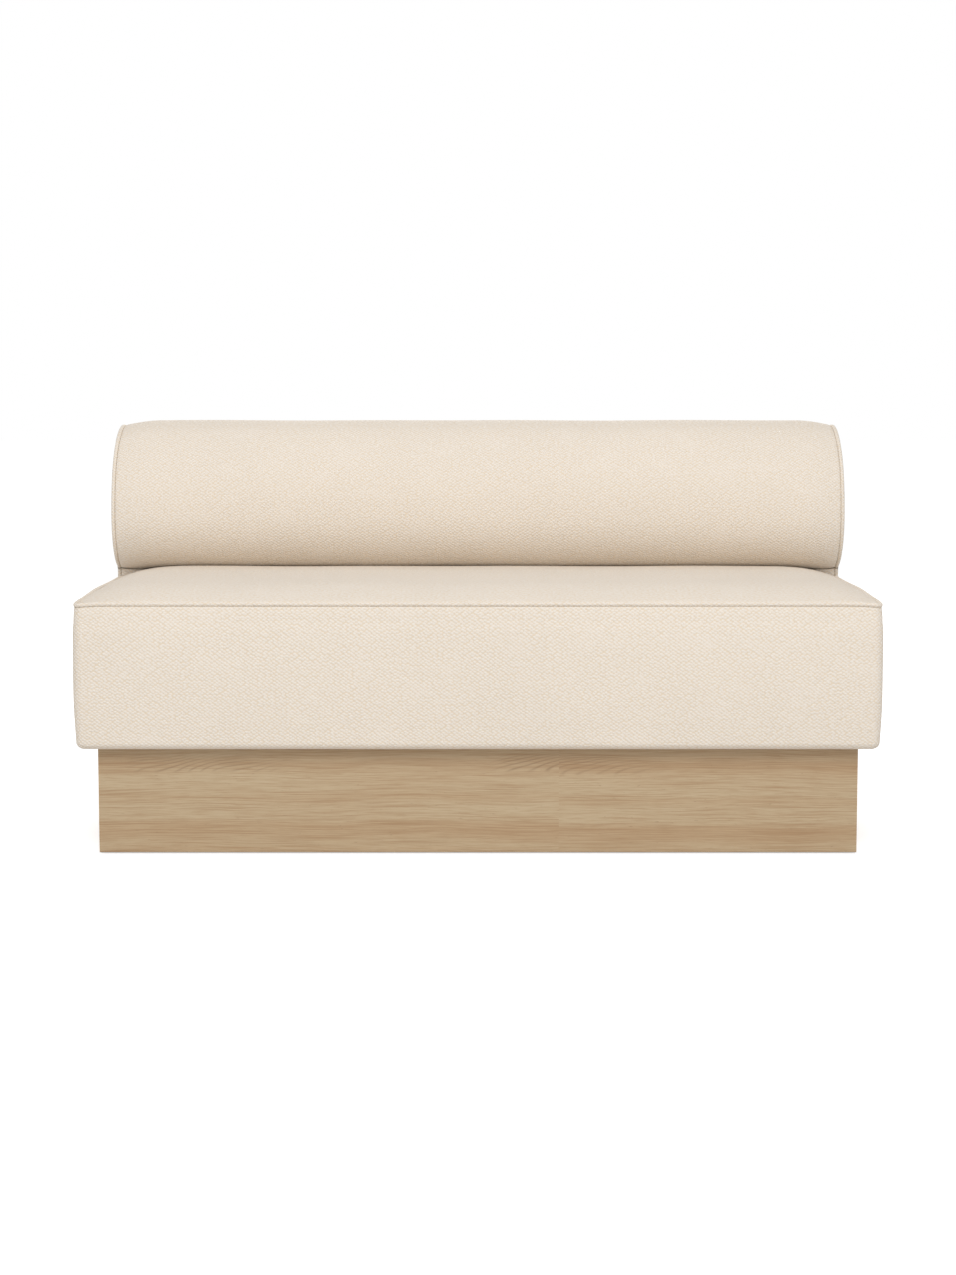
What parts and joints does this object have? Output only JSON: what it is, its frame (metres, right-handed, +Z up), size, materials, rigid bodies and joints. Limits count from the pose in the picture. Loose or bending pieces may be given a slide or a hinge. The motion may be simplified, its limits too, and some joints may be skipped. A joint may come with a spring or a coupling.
{
  "type": "dining sofa",
  "caption": "Armless upholstered dining sofa: a box seat block and a rolled back on a recessed oak veneered plinth.",
  "frame": {"origin": "on the floor, in the middle of the sofa's length and depth", "axes": "+X along the sofa to the right of someone facing it, +Y from its front to its rear, +Z up"},
  "size_m": [1.65, 0.8, 0.88],
  "materials": {
    "cream_weave": "chunky cream basket weave",
    "foam": "upholstery foam",
    "felt": "needled felt",
    "webbing": "elastic webbing",
    "dust_cloth": "black lining cloth",
    "hardboard": "bent hardboard",
    "birch_ply": "birch plywood, bare",
    "light_oak": "light oak veneer, matt lacquer",
    "steel": "zinc plated",
    "pad_plastic": "black nylon"
  },
  "bodies": {
    "sofa": {"back_bolt_washers": "steel", "back_bolts": "steel", "back_bottom_rail": "birch_ply", "back_cover_left_end": "cream_weave", "back_cover_main": "cream_weave", "back_cover_right_end": "cream_weave", "back_curved_skin": "hardboard", "back_front_foam": "foam", "back_front_rails": "birch_ply", "back_inner_ribs": "birch_ply", "back_insert_nuts": "steel", "back_left_end_foam": "foam", "back_left_rib": "birch_ply", "back_left_seam_lip": "cream_weave", "back_nose_rail": "birch_ply", "back_rear_foam": "foam", "back_rear_panel": "hardboard", "back_right_end_foam": "foam", "back_right_rib": "birch_ply", "back_right_seam_lip": "cream_weave", "back_roll_foam": "foam", "back_spine_rail": "birch_ply", "back_top_rail": "birch_ply", "dust_cover": "dust_cloth", "foot_inserts": "steel", "frame_bolt_washers": "steel", "frame_bolts": "steel", "frame_insert_nuts": "steel", "plinth_cleats": "birch_ply", "plinth_corner_blocks": "birch_ply", "plinth_cross_panels": "birch_ply", "plinth_front_panel": "light_oak", "plinth_left_panel": "light_oak", "plinth_rear_panel": "light_oak", "plinth_right_panel": "light_oak", "plinth_screws": "steel", "seat_core_foam": "foam", "seat_corner_braces": "birch_ply", "seat_cover_band": "cream_weave", "seat_cover_top": "cream_weave", "seat_cross_rails": "birch_ply", "seat_edge_foam": "foam", "seat_felt_sheet": "felt", "seat_front_rail": "birch_ply", "seat_left_rail": "birch_ply", "seat_rear_rail": "birch_ply", "seat_right_rail": "birch_ply", "seat_seam_lip": "cream_weave", "seat_topper_foam": "foam", "seat_webbing_cross": "webbing", "seat_webbing_long": "webbing"},
    "foot_front_left": {"foot_pad_front_left": "pad_plastic", "foot_stem_front_left": "steel"},
    "foot_front_right": {"foot_pad_front_right": "pad_plastic", "foot_stem_front_right": "steel"},
    "foot_rear_left": {"foot_pad_rear_left": "pad_plastic", "foot_stem_rear_left": "steel"},
    "foot_rear_right": {"foot_pad_rear_right": "pad_plastic", "foot_stem_rear_right": "steel"}
  },
  "joints": [
    {"name": "foot_front_left_travel", "type": "slide", "parent": "sofa", "child": "foot_front_left", "axis": [0, 0, -1], "range_m": [0, 0.012]},
    {"name": "foot_front_right_travel", "type": "slide", "parent": "sofa", "child": "foot_front_right", "axis": [0, 0, -1], "range_m": [0, 0.012]},
    {"name": "foot_rear_left_travel", "type": "slide", "parent": "sofa", "child": "foot_rear_left", "axis": [0, 0, -1], "range_m": [0, 0.012]},
    {"name": "foot_rear_right_travel", "type": "slide", "parent": "sofa", "child": "foot_rear_right", "axis": [0, 0, -1], "range_m": [0, 0.012]}
  ]
}
